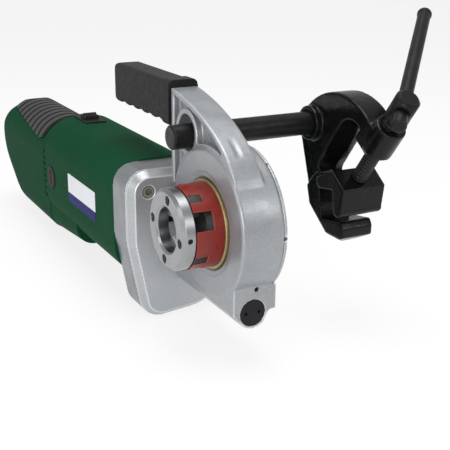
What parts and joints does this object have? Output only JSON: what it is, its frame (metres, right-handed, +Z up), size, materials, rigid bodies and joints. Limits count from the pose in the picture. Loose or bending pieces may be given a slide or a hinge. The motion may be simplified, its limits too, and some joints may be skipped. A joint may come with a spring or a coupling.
{
  "type": "electric pipe threader",
  "caption": "Hand-held electric pipe threading machine with a geared die head, a top grip, a motor handle and a screw clamp on a support rod.",
  "frame": {"origin": "on the die axis, in the plane of the drum's front face", "axes": "+Y along the pipe from the die head to the clamp, motor towards -X, +Z up"},
  "size_m": [0.6937, 0.3172, 0.3207],
  "materials": {
    "cast_metal": "satin",
    "steel": "satin",
    "dark_steel": "satin",
    "black_paint": "gloss",
    "black_plastic": "matte",
    "grip_rubber": "matte",
    "green_shell": "satin",
    "red_paint": "satin",
    "black_oxide": "satin",
    "zinc": "satin",
    "brass": "satin",
    "copper": "satin",
    "carbon": "matte",
    "brown_cap": "gloss"
  },
  "bodies": {
    "machine": {"drive_housing": "cast_metal", "face_plate": "cast_metal", "rear_cover": "cast_metal", "rear_cover_screws": "dark_steel", "housing_screws": "dark_steel", "worm_plug": "black_plastic", "worm_bearings": "steel", "gearcase": "cast_metal", "gear_plate": "cast_metal", "idler_bushes": "brass", "motor_housing": "green_shell", "stator": "dark_steel", "motor_bearings": "steel", "brush_holders": "brass", "brushes": "carbon", "brush_caps": "brown_cap", "handle_shell_left": "green_shell", "handle_shell_right": "green_shell", "handle_saddle": "grip_rubber", "handle_screws": "dark_steel", "switch_module": "black_plastic", "trigger_pin": "steel", "cord_inlet": "grip_rubber", "switch_plate": "black_plastic", "top_grip": "grip_rubber", "grip_bolt": "dark_steel"},
    "die_drive": {"drive_ring": "zinc", "die_head_body": "red_paint", "dies": "dark_steel", "die_cover": "steel", "die_cover_screws": "dark_steel", "die_head_clip": "zinc"},
    "worm": {"worm_shaft": "steel", "worm_wheel": "dark_steel"},
    "idler": {"idler_shaft": "steel", "idler_wheel": "dark_steel"},
    "armature": {"armature_shaft": "steel", "armature_core": "dark_steel", "commutator": "copper", "cooling_fan": "black_plastic"},
    "clamp": {"support_rod": "black_oxide", "clamp_yoke": "black_paint", "rod_pin": "dark_steel"},
    "jaw": {"clamp_jaw": "black_paint", "jaw_pin": "steel"},
    "screw": {"clamp_screw": "black_oxide"},
    "bar": {"tommy_bar": "black_oxide"},
    "trigger": {"trigger": "black_plastic"},
    "direction_switch": {"direction_switch": "black_plastic"}
  },
  "joints": [
    {"name": "die_spin", "type": "hinge", "parent": "machine", "child": "die_drive", "pos_m": [0, 0, 0], "axis": [0, 1, 0], "continuous": true},
    {"name": "worm_spin", "type": "hinge", "parent": "machine", "child": "worm", "pos_m": [0, 0.0225, -0.076], "axis": [1, 0, 0], "continuous": true},
    {"name": "idler_spin", "type": "hinge", "parent": "machine", "child": "idler", "pos_m": [-0.1, -0.01357, -0.04665], "axis": [1, 0, 0], "continuous": true},
    {"name": "armature_spin", "type": "hinge", "parent": "machine", "child": "armature", "pos_m": [-0.2, 0.008, -0.034], "axis": [1, 0, 0], "continuous": true},
    {"name": "clamp_slide", "type": "slide", "parent": "machine", "child": "clamp", "axis": [0, 1, 0], "range_m": [-0.076, 0.03]},
    {"name": "jaw_slide", "type": "slide", "parent": "clamp", "child": "jaw", "axis": [0.5878, 0, 0.809], "range_m": [-0.008, 0.02]},
    {"name": "screw_turn", "type": "hinge", "parent": "jaw", "child": "screw", "pos_m": [0, 0.161, 0], "axis": [0.5878, 0, 0.809], "range_deg": [-720, 1800]},
    {"name": "bar_slide", "type": "slide", "parent": "screw", "child": "bar", "axis": [-0.6197, 0.6428, 0.4503], "range_m": [-0.13, 0.008]},
    {"name": "trigger_swing", "type": "hinge", "parent": "machine", "child": "trigger", "pos_m": [-0.488, 0.002, -0.103], "axis": [0, -1, 0], "range_deg": [0, 4], "stiffness_Nm_per_rad": 4, "springref_deg": -11.46},
    {"name": "direction_slide", "type": "slide", "parent": "machine", "child": "direction_switch", "axis": [1, 0, 0], "range_m": [-0.004, 0.004]}
  ],
  "couplings": [
    {"joint": "worm_spin", "follows": "die_spin", "ratio": 65},
    {"joint": "idler_spin", "follows": "die_spin", "ratio": -222.86},
    {"joint": "armature_spin", "follows": "die_spin", "ratio": 520},
    {"joint": "screw_turn", "follows": "jaw_slide", "rad_per_m": 1570.8}
  ]
}
